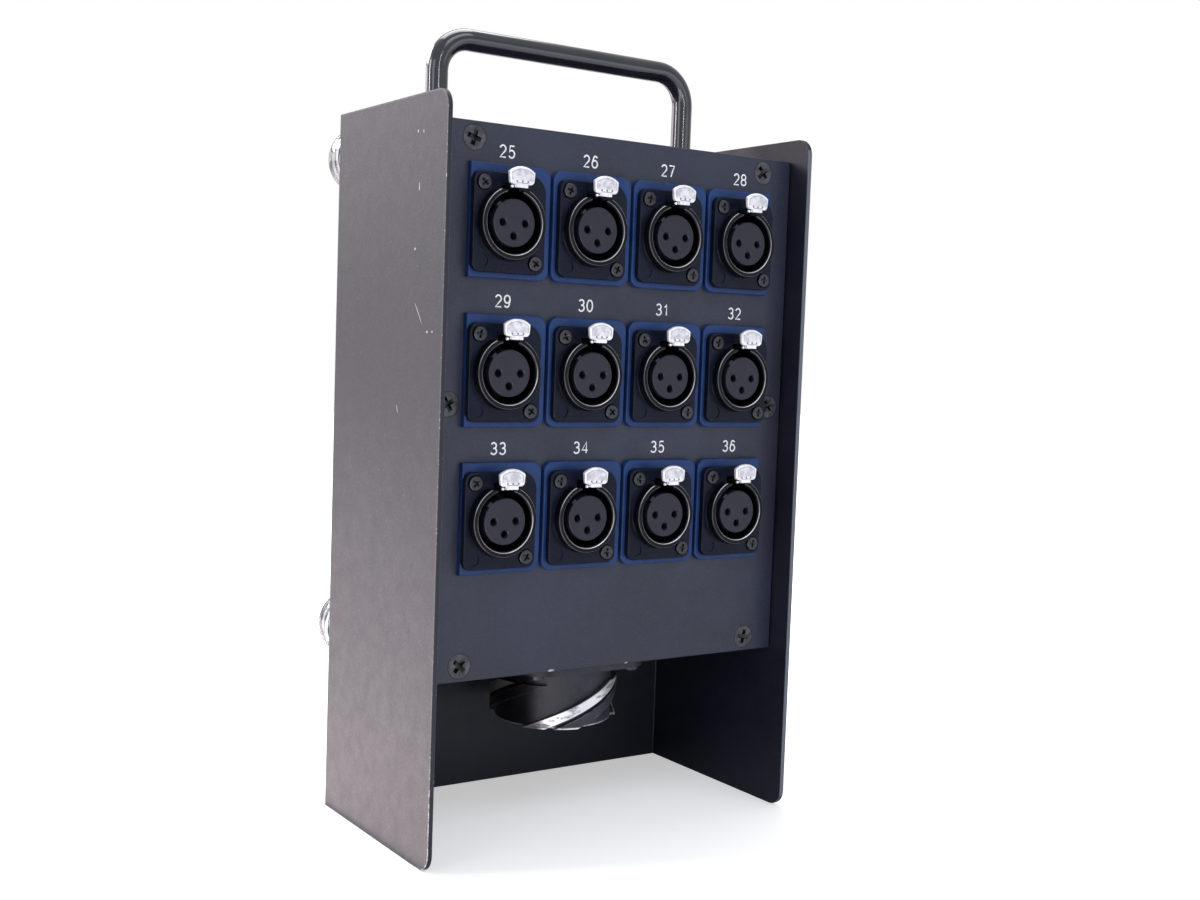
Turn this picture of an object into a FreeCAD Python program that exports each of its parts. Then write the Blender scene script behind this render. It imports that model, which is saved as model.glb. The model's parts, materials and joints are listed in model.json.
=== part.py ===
# Stage box for a multicore: a steel wall box with twelve three-pole sockets on
# its front panel, a 37-pole multipin socket under its inner box, a round bar
# handle on top and four clear bumpers on its back.
# Millimetres. +X right, +Y to the back, +Z up. The origin is at the middle of
# the whole object's footprint, on the surface it stands on.
import FreeCAD, Part
import math
import os

V = FreeCAD.Vector

# Chassis: one sheet folded to a U, its cheeks reaching below the inner box
width = 144.5
height = 240.0
depth = 79.6
sheet = 1.5
fold_r = 2.0
cheek_corner_r = 6.0

# What stands ahead of the cheeks and behind the back
tab_proud = 1.85
foot_height = 14.3

# Front panel
panel_recess = 9.3
panel_thick = 2.0
panel_bottom = 57.0
panel_top = 232.5
panel_gap = 0.3
corner_screw_x = 58.0
corner_screw_inset = 5.1
middle_screw_x = 64.8
middle_screw_z = 145.0
panel_screw_turns = (17, 50, 42, 12, 60, 56)

# Grid of sockets, numbered from the top left
first_number = 25
columns = 4
rows = 3
pitch_x = 31.3
pitch_z = 46.55
grid_mid_z = 155.1

# Blue coding plate behind each socket's flange
plate_width = 30.3
plate_height = 35.5
plate_thick = 2.1
plate_corner_r = 3.5
plate_shift_x = 0.8
plate_shift_z = 0.55
plate_trim_x = 13.1

# Socket: flange, ring and rear housing
flange_width = 26.0
flange_height = 31.0
flange_thick = 2.05
flange_corner_r = 3.0
flange_big_corner_r = 6.0
cut_out_r = 12.0
socket_bore_r = 9.55
lip_r = 10.15
lip_deep = 0.55
rim_r = 11.4
rim_edge = 0.4
rim_base_r = 11.6
ring_reach = 3.3
ring_top = 10.0
housing_r = 11.8
housing_depth = 18.0
flange_screw_x = 9.5
flange_screw_z = 12.0
flange_screw_turns = (40, 35, 22, 20, 12, 5, 0, 3, 12, 35, 65, 45,
                      60, 5, 10, 8, 40, 33, 5, 0, 0, 10, 20, 10)
latch_slot_half = 2.9
blank_hole_r = 2.1
blank_hole_deep = 0.3

# Insert and contacts inside a socket
insert_r = 7.45
insert_face = 2.8
insert_base_front = 12.5
insert_base_back = 16.5
contact_ring_r = 4.02
contact_hole_r = 1.2
contact_angles = (180, 0, -90)
contact_front = 2.0
cup_end = 24.0

# Push tab of the latch
tab_reach = 7.0
tab_thick = 1.15
tab_half = 4.6
tab_low_half = 3.0
tab_top = 17.0
tab_shoulder = 15.25
tab_low = 11.45
tab_neck_half = 2.05
tab_neck_low = 10.5
tab_dents = (-1.95, 0.0, 1.95)
tab_dent_z = 12.35
tab_dent_r = 0.3
lug_x = -3.2
lug_z = 10.75
lug_r = 0.42
stem_half = 2.2
stem_low = 10.6
stem_high = 11.2
stem_end = 9.6
tooth_low = 9.25
tab_travel = 2.4
tab_slope = 8.0

# Multipin socket, pointing down under the inner box
multipin_y_from_front = 44.65
multipin_r = 20.7
multipin_crest_r = 22.65
multipin_rim = 32.3
multipin_flange = 52.0
multipin_flange_r = 12.0
multipin_flange_low = 52.6
gasket_thick = 1.0
multipin_bore_r = 17.5
multipin_back = 66.0
multipin_screw = 19.5
thread_lead = 60.0
thread_starts = 3
thread_top = 47.3
thread_band = 4.2
thread_groove = 0.8
thread_start_angle = 65.0
pin_r = 0.8
pin_tip = 38.0
pin_end = 68.0
pin_ring_step = 4.6

# Handle, a bent round bar
handle_r = 3.7
handle_leg_x = 51.0
handle_bar_z = 265.4
handle_bend_r = 11.5
handle_y_from_front = 49.15

# Rear bumpers
foot_r = 11.4
foot_x = 60.8
foot_rim = 3.3
foot_top_z = 226.0
foot_low_z = 63.1

# Wiring behind the sockets
cable_r = 1.3
core_r = 0.45
lane_x = 5.0
lane_y = 5.0
bundle_shift_y = 2.2
cable_low = 82.0
tie_heights = (84.0, 103.0)
tie_thick = 1.0
tie_wide = 2.5

# Places that follow from the sizes above
y_tab = -(tab_proud + depth + foot_height) / 2
y_front = y_tab + tab_proud
y_back = y_front + depth
y_panel = y_front + panel_recess
y_panel_back = y_panel + panel_thick
y_flange = y_panel - plate_thick - flange_thick
y_multipin = y_front + multipin_y_from_front
y_handle = y_front + handle_y_from_front
half_width = width / 2
half_inner = half_width - sheet
running = 0.05

os.makedirs("parts", exist_ok=True)


# Shapes used by more than one sub-part
def box(x0, x1, y0, y1, z0, z1):
    return Part.makeBox(x1 - x0, y1 - y0, z1 - z0, V(x0, y0, z0))


def rod_y(r, x, z, y0, y1):
    return Part.makeCylinder(r, y1 - y0, V(x, y0, z), V(0, 1, 0))


def rod_z(r, x, y, z0, z1):
    return Part.makeCylinder(r, z1 - z0, V(x, y, z0), V(0, 0, 1))


def cone_y(r0, r1, x, z, y0, y1):
    return Part.makeCone(r0, r1, y1 - y0, V(x, y0, z), V(0, 1, 0))


def outline_prism(points, push):
    """A flat outline of straight and three-point arc pieces, pushed out."""
    edges = []
    start = points[0]
    for step in points[1:]:
        if len(step) == 2:
            middle, end = step
            edges.append(Part.Arc(start, middle, end).toShape())
        else:
            end = step[0]
            edges.append(Part.LineSegment(start, end).toShape())
        start = end
    return Part.Face(Part.Wire(edges)).extrude(push)


def corner_middle(cx, cz, r, sign_x, sign_z, y):
    """Middle of the quarter arc about (cx, cz) in the quadrant of the two signs."""
    diagonal = r / math.sqrt(2)
    return V(cx + sign_x * diagonal, y, cz + sign_z * diagonal)


def rounded_plate(x0, x1, z0, z1, y0, y1, radii):
    """An upright plate with its corner radii given from top left, clockwise."""
    tl, tr, br, bl = radii
    points = [V(x0 + tl, y0, z1), (V(x1 - tr, y0, z1),)]
    if tr:
        points.append((corner_middle(x1 - tr, z1 - tr, tr, 1, 1, y0), V(x1, y0, z1 - tr)))
    points.append((V(x1, y0, z0 + br),))
    if br:
        points.append((corner_middle(x1 - br, z0 + br, br, 1, -1, y0), V(x1 - br, y0, z0)))
    points.append((V(x0 + bl, y0, z0),))
    if bl:
        points.append((corner_middle(x0 + bl, z0 + bl, bl, -1, -1, y0), V(x0, y0, z0 + bl)))
    points.append((V(x0, y0, z1 - tl),))
    if tl:
        points.append((corner_middle(x0 + tl, z1 - tl, tl, -1, 1, y0), points[0]))
    return outline_prism(points, V(0, y1 - y0, 0))


def cross_recess(radius, deep, x, y, z, turn, up=False):
    """The cutter that sinks a cross recess: two crossed bars with sloping ends.
    The turn is clockwise from the front, in degrees."""
    bars = []
    for angle in (turn, turn + 90):
        half = radius * 0.19
        wide = radius * 0.66
        foot = radius * 0.2
        profile = Part.makePolygon([V(-wide, 0, 0), V(wide, 0, 0), V(foot, deep, 0),
                                    V(-foot, deep, 0), V(-wide, 0, 0)])
        bar = Part.Face(profile).extrude(V(0, 0, 2 * half))
        bar.translate(V(0, 0, -half))
        bar.rotate(V(0, 0, 0), V(0, 1, 0), angle)
        bars.append(bar)
    cutter = bars[0].fuse(bars[1])
    if up:
        cutter.rotate(V(0, 0, 0), V(1, 0, 0), 90)
    cutter.translate(V(x, y, z))
    return cutter


def save(node, shapes):
    """Write one node: a single solid, or a group of separate solids."""
    solids = []
    for shape in shapes:
        solids.extend(shape.Solids)
    for solid in solids:
        if not solid.isValid() or solid.Volume <= 0:
            raise RuntimeError(node + " holds a bad solid")
    whole = solids[0] if len(solids) == 1 else Part.makeCompound(solids)
    whole.exportStep("parts/" + node + ".step")
    print(node, len(solids), round(sum(s.Volume for s in solids)))


# Socket places, read like a page from the top left
sockets = []
for row in range(rows):
    for column in range(columns):
        number = first_number + row * columns + column
        x = (column - (columns - 1) / 2) * pitch_x
        z = grid_mid_z + ((rows - 1) / 2 - row) * pitch_z
        sockets.append((number, column, row, x, z))

flange_screws = []
for number, column, row, x, z in sockets:
    flange_screws.append((x - flange_screw_x, z + flange_screw_z))
    flange_screws.append((x + flange_screw_x, z - flange_screw_z))

corner_screws = [(side * corner_screw_x, z)
                 for z in (panel_top - corner_screw_inset, panel_bottom + corner_screw_inset)
                 for side in (-1, 1)]
middle_screws = [(side * middle_screw_x, middle_screw_z) for side in (-1, 1)]
panel_screws = corner_screws + middle_screws


# Folded chassis
def upright_edges(shape, x, y):
    found = []
    for edge in shape.Edges:
        at = edge.CenterOfMass
        if abs(abs(at.x) - x) < 0.01 and abs(at.y - y) < 0.01:
            found.append(edge)
    return found


def chassis():
    outer = box(-half_width, half_width, y_front, y_back, 0, height)
    outer = outer.makeFillet(fold_r, upright_edges(outer, half_width, y_back))
    inner = box(-half_inner, half_inner, y_front - 1, y_back - sheet, -1, height + 1)
    inner = inner.makeFillet(fold_r - sheet, upright_edges(inner, half_inner, y_back - sheet))
    shell = outer.cut(inner)
    r = cheek_corner_r
    diagonal = r * (1 - 1 / math.sqrt(2))
    side = [V(-half_width - 1, y_back + 1, 0),
            (V(-half_width - 1, y_front + r, 0),),
            (V(-half_width - 1, y_front + diagonal, diagonal), V(-half_width - 1, y_front, r)),
            (V(-half_width - 1, y_front, height - r),),
            (V(-half_width - 1, y_front + diagonal, height - diagonal),
             V(-half_width - 1, y_front + r, height)),
            (V(-half_width - 1, y_back + 1, height),),
            (V(-half_width - 1, y_back + 1, 0),)]
    return shell.common(outline_prism(side, V(width + 2, 0, 0)))


# Top and bottom plates of the inner box, folded trays between the cheeks
flange_deep = 14.0
relief = 3.0
nut_spigot_r = 2.75


def folded_tray(z_web, turn):
    """A web at z_web whose four flanges go up (turn 1) or down (turn -1)."""
    y0 = y_panel_back
    y1 = y_back - sheet
    z_far = z_web + turn * flange_deep
    z_in = z_web + turn * sheet
    outer = box(-half_inner, half_inner, y0, y1, min(z_web, z_far), max(z_web, z_far))
    web_edges = [edge for edge in outer.Edges if abs(edge.CenterOfMass.z - z_web) < 0.01]
    outer = outer.makeFillet(sheet, web_edges)
    z_over = z_far + turn
    inner = box(-half_inner + sheet, half_inner - sheet, y0 + sheet, y1 - sheet,
                min(z_in, z_over), max(z_in, z_over))
    tray = outer.cut(inner)
    for x in (-half_inner, half_inner - relief):
        for y in (y0, y1 - relief):
            tray = tray.cut(box(x, x + relief, y, y + relief, z_web - 20, z_web + 20))
    return tray


def drill_nut_holes(shape, places):
    for x, z in places:
        shape = shape.cut(rod_y(nut_spigot_r + running, x, z, y_panel_back - 1,
                                y_panel_back + sheet + 1))
    return shape


def top_plate():
    tray = folded_tray(panel_top, -1)
    tray = drill_nut_holes(tray, corner_screws[:2])
    for side in (-1, 1):
        tray = tray.cut(rod_z(2.75, side * handle_leg_x, y_handle, panel_top - 5, panel_top + 1))
    return tray


earth_y = y_back - sheet - 6.0


def bottom_plate():
    tray = folded_tray(panel_bottom, 1)
    tray = drill_nut_holes(tray, corner_screws[2:])
    tray = tray.cut(rod_z(multipin_r, 0, y_multipin, panel_bottom - 1, panel_bottom + 5))
    for x in (-multipin_screw, multipin_screw):
        for y in (-multipin_screw, multipin_screw):
            tray = tray.cut(rod_z(1.7, x, y_multipin + y, panel_bottom - 1, panel_bottom + 5))
    return tray


def side_bracket(side):
    """An angle on a cheek's inner face that takes one middle panel screw."""
    long_leg = 24.0
    tall = 24.0
    front_leg = 10.5
    z0 = middle_screw_z - tall / 2
    x_out = half_inner
    leg = box(x_out - sheet, x_out, y_panel_back, y_panel_back + long_leg, z0, z0 + tall)
    face = box(x_out - front_leg, x_out, y_panel_back, y_panel_back + sheet, z0, z0 + tall)
    bracket = leg.fuse(face).removeSplitter()
    hole = rod_y(nut_spigot_r + running, middle_screw_x, middle_screw_z,
                 y_panel_back - 1, y_panel_back + sheet + 1)
    bracket = bracket.cut(hole)
    if side < 0:
        bracket = bracket.mirror(V(0, 0, 0), V(1, 0, 0))
    return bracket


def clinch_nut(x, z):
    y0 = y_panel_back
    nut = rod_y(3.6, x, z, y0 + sheet, y0 + sheet + 3.0)
    nut = nut.fuse(rod_y(nut_spigot_r, x, z, y0, y0 + sheet))
    return nut.cut(rod_y(2.05, x, z, y0 - 1, y0 + 10)).removeSplitter()


# Front panel, with its countersinks and round cut-outs
screw_head_r = 3.9
screw_shank_r = 2.0
sink_deep = 1.7


def front_panel():
    half = half_inner - panel_gap
    panel = box(-half, half, y_panel, y_panel_back, panel_bottom, panel_top)
    front = [edge for edge in panel.Edges if abs(edge.CenterOfMass.y - y_panel) < 0.01]
    panel = panel.makeFillet(0.4, front)
    for number, column, row, x, z in sockets:
        panel = panel.cut(rod_y(cut_out_r, x, z, y_panel - 1, y_panel_back + 1))
    for x, z in flange_screws:
        panel = panel.cut(rod_y(1.5, x, z, y_panel - 1, y_panel_back + 1))
    for x, z in panel_screws:
        panel = panel.cut(rod_y(screw_shank_r + 0.2, x, z, y_panel - 1, y_panel_back + 1))
        panel = panel.cut(cone_y(screw_head_r + 0.1, screw_shank_r + 0.1, x, z,
                                 y_panel, y_panel + sink_deep + 0.05))
    return panel


def panel_screw(index, x, z):
    head = cone_y(screw_head_r, screw_shank_r, x, z, y_panel + 0.05, y_panel + sink_deep)
    shank = rod_y(screw_shank_r, x, z, y_panel + sink_deep, y_panel_back + 6.0)
    screw = head.fuse(shank).removeSplitter()
    turn = panel_screw_turns[index]
    return screw.cut(cross_recess(screw_head_r, 1.6, x, y_panel + 0.04, z, turn))


# Blue coding plates: those of the outer columns are trimmed square outside
def coding_plate(column, x, z):
    x0 = x + plate_shift_x - plate_width / 2
    x1 = x + plate_shift_x + plate_width / 2
    z0 = z + plate_shift_z - plate_height / 2
    z1 = z + plate_shift_z + plate_height / 2
    r = plate_corner_r
    radii = [r, r, r, r]
    if column == 0:
        x0 = x - plate_trim_x
        radii = [0, r, r, 0]
    if column == columns - 1:
        x1 = x + plate_trim_x
        radii = [r, 0, 0, r]
    y1 = y_flange + flange_thick + plate_thick
    plate = rounded_plate(x0, x1, z0, z1, y_flange + flange_thick, y1, radii)
    rim = [edge for edge in plate.Edges
           if abs(edge.CenterOfMass.y - y_flange - flange_thick) < 0.01]
    plate = plate.makeFillet(0.5, rim)
    plate = plate.cut(rod_y(cut_out_r, x, z, y_flange, y1 + 1))
    for sign in (-1, 1):
        hole_x = x + sign * flange_screw_x
        hole_z = z - sign * flange_screw_z
        plate = plate.cut(rod_y(1.6, hole_x, hole_z, y_flange, y1 + 1))
    return plate


# One socket, made at the grid's origin with its flange's front face at y = 0
def ring_profile():
    """Half section of flange ring and rear housing, turned about the socket's axis."""
    points = [V(lip_r, -ring_reach, 0), V(rim_r - rim_edge, -ring_reach, 0),
              V(rim_r, -ring_reach + rim_edge, 0), V(rim_base_r, -0.3, 0),
              V(rim_base_r + 0.2, 0, 0), V(housing_r, 0.1, 0),
              V(housing_r, housing_depth - 0.5, 0), V(housing_r - 0.5, housing_depth, 0),
              V(socket_bore_r, housing_depth, 0), V(socket_bore_r, -ring_reach + lip_deep, 0),
              V(lip_r, -ring_reach, 0)]
    return Part.Face(Part.makePolygon(points))


def socket_shell():
    half_w = flange_width / 2
    half_h = flange_height / 2
    r = flange_corner_r
    radii = [r, flange_big_corner_r, r, r]
    flange = rounded_plate(-half_w, half_w, -half_h, half_h, 0, flange_thick, radii)
    rim = [edge for edge in flange.Edges if abs(edge.CenterOfMass.y) < 0.01]
    flange = flange.makeFillet(0.4, rim)
    flange = flange.cut(rod_y(socket_bore_r + 0.5, 0, 0, -1, flange_thick + 1))
    turned = ring_profile().revolve(V(0, 0, 0), V(0, 1, 0), 360)
    shell = flange.fuse(turned).removeSplitter()
    for sign in (-1, 1):
        x = sign * flange_screw_x
        z = -sign * flange_screw_z
        shell = shell.cut(rod_y(1.6, x, z, -1, flange_thick + 1))
        shell = shell.cut(rod_y(2.65, x, z, -1, 0.5))
    shell = shell.cut(rod_y(blank_hole_r, -flange_screw_x, -flange_screw_z, -1,
                            blank_hole_deep))
    slot_front = box(-latch_slot_half, latch_slot_half, -ring_reach - 1, flange_thick + 1,
                     9.0, 12.2)
    ring_flat = box(-rim_base_r, rim_base_r, -ring_reach - 1, 0, ring_top, 12.2)
    slot_back = box(-stem_half - 0.3, stem_half + 0.3, flange_thick, 15.8, 9.0, 12.6)
    return shell.cut(ring_flat).cut(slot_front).cut(slot_back)


def socket_insert():
    front = rod_y(insert_r, 0, 0, -insert_face, insert_base_front + 0.5)
    front_rim = [edge for edge in front.Edges
                 if abs(edge.BoundBox.YMax + insert_face) < 0.01]
    front = front.makeFillet(0.4, front_rim)
    base = rod_y(socket_bore_r - running, 0, 0, insert_base_front, insert_base_back)
    key = box(-0.8, 0.8, -insert_face + 0.2, insert_base_front + 0.5, insert_r - 0.6,
              insert_r + 0.75)
    key.rotate(V(0, 0, 0), V(0, 1, 0), -45)
    insert = front.fuse(base).fuse(key).removeSplitter()
    for angle in contact_angles:
        x = contact_ring_r * math.cos(math.radians(angle))
        z = contact_ring_r * math.sin(math.radians(angle))
        insert = insert.cut(rod_y(contact_hole_r, x, z, -insert_face - 1, insert_base_back + 1))
        insert = insert.cut(cone_y(contact_hole_r + 0.3, contact_hole_r, x, z,
                                   -insert_face, -insert_face + 0.3))
    return insert


def socket_contact(angle):
    """Socket contact with an open front sleeve and a solder cup behind."""
    x = contact_ring_r * math.cos(math.radians(angle))
    z = contact_ring_r * math.sin(math.radians(angle))
    sleeve = rod_y(contact_hole_r - running, x, z, contact_front, insert_base_back)
    tail = rod_y(1.0, x, z, insert_base_back - 0.5, cup_end)
    contact = sleeve.fuse(tail).removeSplitter()
    contact = contact.cut(rod_y(0.95, x, z, contact_front - 1, 11.0))
    return contact.cut(rod_y(0.6, x, z, cup_end - 3.0, cup_end + 1))


def push_tab():
    """Button face with its neck, and the stem that carries the latch tooth."""
    y0 = -tab_reach
    y_backing = y0 + tab_thick
    side = tab_half
    low = tab_low_half
    points = [V(-low, y0, tab_low),
              (V(-side + 0.55, y0, tab_low + 0.45), V(-side + 0.2, y0, tab_low + 1.4)),
              (V(-side, y0, tab_shoulder),),
              (V(0, y0, tab_top), V(side, y0, tab_shoulder)),
              (V(side - 0.2, y0, tab_low + 1.4),),
              (V(side - 0.55, y0, tab_low + 0.45), V(low, y0, tab_low)),
              (V(-low, y0, tab_low),)]
    button = outline_prism(points, V(0, tab_thick, 0))
    front = [edge for edge in button.Edges if abs(edge.BoundBox.YMax - y0) < 0.01]
    button = button.makeFillet(0.4, front)
    for x in tab_dents:
        button = button.cut(rod_y(tab_dent_r, x, tab_dent_z, y0 - 1, y0 + 0.2))
    neck = box(-tab_neck_half, tab_neck_half, y0 + 0.1, y_backing, tab_neck_low, tab_low + 0.5)
    backing = box(-stem_half, stem_half, y_backing - 0.3, y_backing + 1.6, stem_low, 15.0)
    stem = box(-stem_half, stem_half, y_backing - 0.3, stem_end, stem_low, stem_high)
    lug = rod_y(lug_r, lug_x, lug_z, y0 + 0.6, y_backing + 0.4)
    arm = box(lug_x, -stem_half + 0.2, y_backing, y_backing + 0.4, stem_low, lug_z + 0.2)
    tooth_side = Part.makePolygon([V(0, 3.0, stem_low + 0.1), V(0, 4.6, tooth_low),
                                   V(0, 5.6, tooth_low), V(0, 6.0, stem_low + 0.1),
                                   V(0, 3.0, stem_low + 0.1)])
    tooth = Part.Face(tooth_side).extrude(V(3.6, 0, 0))
    tooth.translate(V(-1.8, 0, 0))
    tab = button.fuse(neck).fuse(backing).fuse(stem).fuse(lug).fuse(arm).fuse(tooth)
    return tab.removeSplitter()


def latch_spring():
    """Return leaf behind the stem, bent back on itself, at its pressed length."""
    wire = 0.3
    y1 = 15.6
    y0 = stem_end + tab_travel + 0.4
    middle = (y0 + y1) / 2
    outer_r = (y1 - y0) / 2
    inner_r = outer_r - wire
    end = 1.9
    bend = 1.6 - outer_r + 0.3
    outline = [V(end, y0, 9.8),
               (V(bend, y0, 9.8),),
               (V(bend - outer_r, middle, 9.8), V(bend, y1, 9.8)),
               (V(end, y1, 9.8),),
               (V(end, y1 - wire, 9.8),),
               (V(bend, y1 - wire, 9.8),),
               (V(bend - inner_r, middle, 9.8), V(bend, y0 + wire, 9.8)),
               (V(end, y0 + wire, 9.8),),
               (V(end, y0, 9.8),)]
    return outline_prism(outline, V(0, 0, 1.3))


def flange_screw(index):
    """Raised countersunk screw of a socket's flange, its head above y = 0."""
    head = rod_y(2.4, 0, 0, -0.75, 0.45)
    front = [edge for edge in head.Edges if abs(edge.BoundBox.YMax + 0.75) < 0.01]
    head = head.makeFillet(0.45, front)
    shank = rod_y(1.45, 0, 0, 0.3, flange_thick + plate_thick + panel_thick + 3.0)
    screw = head.fuse(shank).removeSplitter()
    return screw.cut(cross_recess(2.1, 1.1, 0, -0.76, 0, flange_screw_turns[index]))


def placed(shape, x, z, y=y_flange):
    copy = shape.copy()
    copy.translate(V(x, y, z))
    return copy


# Multipin socket
def turned_z(points):
    """A solid turned about the multipin's axis from (radius, height) points."""
    profile = Part.makePolygon([V(r, 0, z) for r, z in points + points[:1]])
    solid = Part.Face(profile).revolve(V(0, 0, 0), V(0, 0, 1), 360)
    solid.translate(V(0, y_multipin, 0))
    return solid


def square_flange(z0, z1):
    half = multipin_flange / 2
    blank = box(-half, half, y_multipin - half, y_multipin + half, z0, z1)
    uprights = [edge for edge in blank.Edges
                if abs(edge.CenterOfMass.z - (z0 + z1) / 2) < 0.01]
    blank = blank.makeFillet(multipin_flange_r, uprights)
    for x in (-multipin_screw, multipin_screw):
        for y in (-multipin_screw, multipin_screw):
            blank = blank.cut(rod_z(1.7, x, y_multipin + y, z0 - 1, z1 + 1))
    return blank


def thread_ridge(start_angle, low, high):
    """One helical ridge of the coupling thread, between two heights on its start."""
    path_z = multipin_rim - 8.0
    rise = thread_top - path_z + 8.0
    helix = Part.makeHelix(thread_lead, rise, multipin_r)
    inner = multipin_r - 0.6
    profile = Part.makePolygon([V(inner, 0, low), V(multipin_crest_r, 0, low + 0.35),
                                V(multipin_crest_r, 0, high - 0.35), V(inner, 0, high),
                                V(inner, 0, low)])
    ridge = Part.Wire(helix).makePipeShell([profile], True, True)
    ridge.rotate(V(0, 0, 0), V(0, 0, 1), start_angle)
    ridge.translate(V(0, y_multipin, path_z))
    return ridge


def multipin_shell():
    r = multipin_r
    bore = multipin_bore_r
    body = turned_z([(bore, multipin_rim), (r - 0.4, multipin_rim), (r, multipin_rim + 0.4),
                     (r, multipin_back - 0.5), (r - 0.5, multipin_back), (bore, multipin_back)])
    body = body.cut(turned_z([(r - 0.2, panel_bottom - gasket_thick), (r + 1, panel_bottom - 1),
                              (r + 1, multipin_back + 1), (r - 0.2, multipin_back + 1)]))
    flange = square_flange(multipin_flange_low, panel_bottom - gasket_thick)
    flange = flange.cut(rod_z(bore + 1, 0, y_multipin, 0, 80))
    zone = turned_z([(r - 0.5, multipin_rim), (multipin_crest_r + 1, multipin_rim),
                     (multipin_crest_r + 1, thread_top), (r - 0.5, thread_top)])
    shell = body.fuse(flange)
    for start in range(thread_starts):
        angle = thread_start_angle + start * 360 / thread_starts
        upper = thread_ridge(angle, 0, thread_band).common(zone)
        shell = shell.fuse(upper)
        lower = thread_ridge(angle, -thread_groove - thread_band, -thread_groove).common(zone)
        shell = shell.fuse(lower)
    return shell.removeSplitter()


pin_places = [(0.0, 0.0)]
for ring in (1, 2, 3):
    for step in range(ring * 6):
        angle = 2 * math.pi * step / (ring * 6)
        pin_places.append((ring * pin_ring_step * math.cos(angle),
                           ring * pin_ring_step * math.sin(angle)))


def multipin_insert():
    face = 48.0
    back = 64.0
    insert = turned_z([(0, face), (multipin_bore_r - running - 0.5, face),
                       (multipin_bore_r - running, face + 0.5), (multipin_bore_r - running, back),
                       (0, back)])
    for x, y in pin_places:
        insert = insert.cut(rod_z(pin_r + running, x, y_multipin + y, face - 1, back + 1))
    return insert


def multipin_pin(x, y):
    pin = rod_z(pin_r, x, y_multipin + y, pin_tip, pin_end)
    tip = [edge for edge in pin.Edges if abs(edge.BoundBox.ZMax - pin_tip) < 0.01]
    return pin.makeFillet(0.5, tip)


def multipin_gasket():
    gasket = square_flange(panel_bottom - gasket_thick, panel_bottom)
    return gasket.cut(rod_z(multipin_r, 0, y_multipin, 50, 60))


def multipin_screw_body(x, y):
    head = rod_z(2.75, x, y, multipin_flange_low - 2.0, multipin_flange_low)
    low = [edge for edge in head.Edges
           if abs(edge.BoundBox.ZMax - multipin_flange_low + 2.0) < 0.01]
    head = head.makeFillet(0.6, low)
    shank = rod_z(1.45, x, y, multipin_flange_low - 0.1, panel_bottom + sheet + 4.0)
    screw = head.fuse(shank).removeSplitter()
    tool = cross_recess(2.6, 1.1, 0, 0, 0, 20, up=True)
    tool.translate(V(x, y, multipin_flange_low - 2.01))
    return screw.cut(tool)


def hex_nut(x, y, z, across, tall, bore):
    corner = across / math.sqrt(3)
    ring = [V(x + corner * math.cos(math.radians(60 * k)),
              y + corner * math.sin(math.radians(60 * k)), z) for k in range(7)]
    nut = Part.Face(Part.makePolygon(ring)).extrude(V(0, 0, tall))
    return nut.cut(rod_z(bore, x, y, z - 1, z + tall + 1))


# Bent tubes: straight runs joined by tangent arcs
def bent_tube(points, radius, bend_share=0.45, bend_r=None):
    edges = []
    start = points[0]
    for k in range(1, len(points) - 1):
        before = (points[k - 1] - points[k])
        after = (points[k + 1] - points[k])
        run = min(before.Length, after.Length)
        before.normalize()
        after.normalize()
        half_turn = (math.pi - before.getAngle(after)) / 2
        back = bend_share * run
        if bend_r is not None:
            back = bend_r * math.tan(half_turn)
        arc_r = back / math.tan(half_turn)
        enter = points[k] + before * back
        leave = points[k] + after * back
        inward = before + after
        inward.normalize()
        centre = points[k] + inward * (arc_r / math.cos(half_turn))
        middle = centre - inward * arc_r
        edges.append(Part.LineSegment(start, enter).toShape())
        edges.append(Part.Arc(enter, middle, leave).toShape())
        start = leave
    edges.append(Part.LineSegment(start, points[-1]).toShape())
    path = Part.Wire(edges)
    heading = points[1] - points[0]
    section = Part.Wire(Part.makeCircle(radius, points[0], heading))
    tube = path.makePipeShell([section], True, False)
    expected = math.pi * radius ** 2 * path.Length
    if abs(tube.Volume - expected) > 0.02 * expected:
        raise RuntimeError("a bent tube has the wrong volume")
    return tube


# Handle and its screws
handle_screw_deep = 12.5


def handle():
    points = [V(-handle_leg_x, y_handle, panel_top), V(-handle_leg_x, y_handle, handle_bar_z),
              V(handle_leg_x, y_handle, handle_bar_z), V(handle_leg_x, y_handle, panel_top)]
    bar = bent_tube(points, handle_r, bend_r=handle_bend_r)
    for side in (-1, 1):
        bar = bar.cut(rod_z(2.45, side * handle_leg_x, y_handle, panel_top - 1,
                            panel_top + handle_screw_deep + 1))
    return bar


def handle_screw(side):
    x = side * handle_leg_x
    z = panel_top - sheet
    screw = rod_z(4.75, x, y_handle, z - 3.0, z)
    low = [edge for edge in screw.Edges if abs(edge.BoundBox.ZMax - z + 3.0) < 0.01]
    screw = screw.makeFillet(1.0, low)
    screw = screw.fuse(rod_z(2.4, x, y_handle, z - 0.1, panel_top + handle_screw_deep))
    tool = cross_recess(4.2, 1.8, 0, 0, 0, 45, up=True)
    tool.translate(V(x, y_handle, z - 3.01))
    return screw.removeSplitter().cut(tool)


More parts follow.
